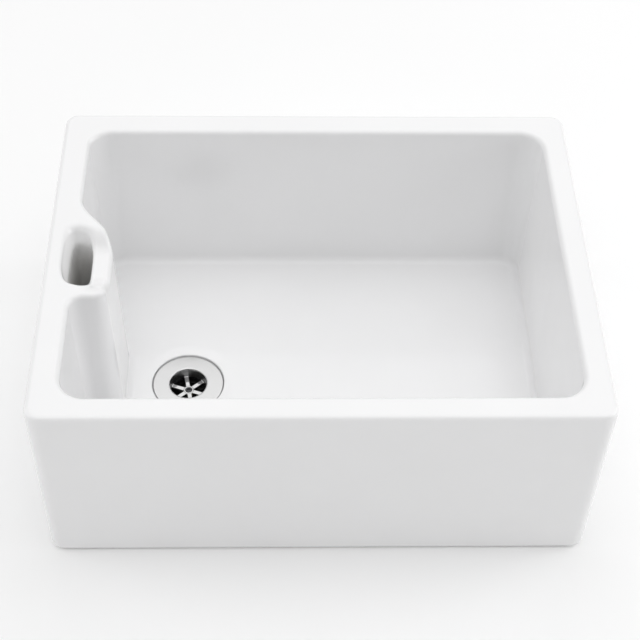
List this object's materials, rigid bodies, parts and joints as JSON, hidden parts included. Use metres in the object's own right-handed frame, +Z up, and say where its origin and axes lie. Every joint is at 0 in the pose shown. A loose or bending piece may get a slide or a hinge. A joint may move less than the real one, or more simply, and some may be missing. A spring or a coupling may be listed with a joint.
{
  "type": "farmhouse kitchen sink",
  "caption": "White fireclay farmhouse kitchen sink with a plain apron front, a deep rectangular basin, a weir overflow in its left wall and a stainless slotted waste.",
  "frame": {"origin": "centre of the flat underside of the fireclay body, on the surface it stands on", "axes": "+Z up out of the basin, -Y towards the apron front, +X to the right along the longest side; the overflow and the waste are at -X"},
  "size_m": [0.595, 0.46, 0.292],
  "materials": {
    "glaze": "high gloss white glaze over fireclay",
    "polished_steel": "mirror polished stainless steel",
    "screw_steel": "darkened stainless steel",
    "rubber": "matt black rubber",
    "white_plastic": "moulded polypropylene",
    "black_plastic": "moulded polypropylene, black",
    "natural_plastic": "natural polythene",
    "brass": "turned brass, knurled"
  },
  "bodies": {
    "root": {"sink_body": "glaze", "waste_flange": "polished_steel", "centre_screw": "screw_steel", "flange_seal": "rubber", "waste_body": "black_plastic", "thread_insert": "brass", "base_seal": "rubber", "slip_washer": "natural_plastic", "backnut": "white_plastic"}
  },
  "joints": []
}
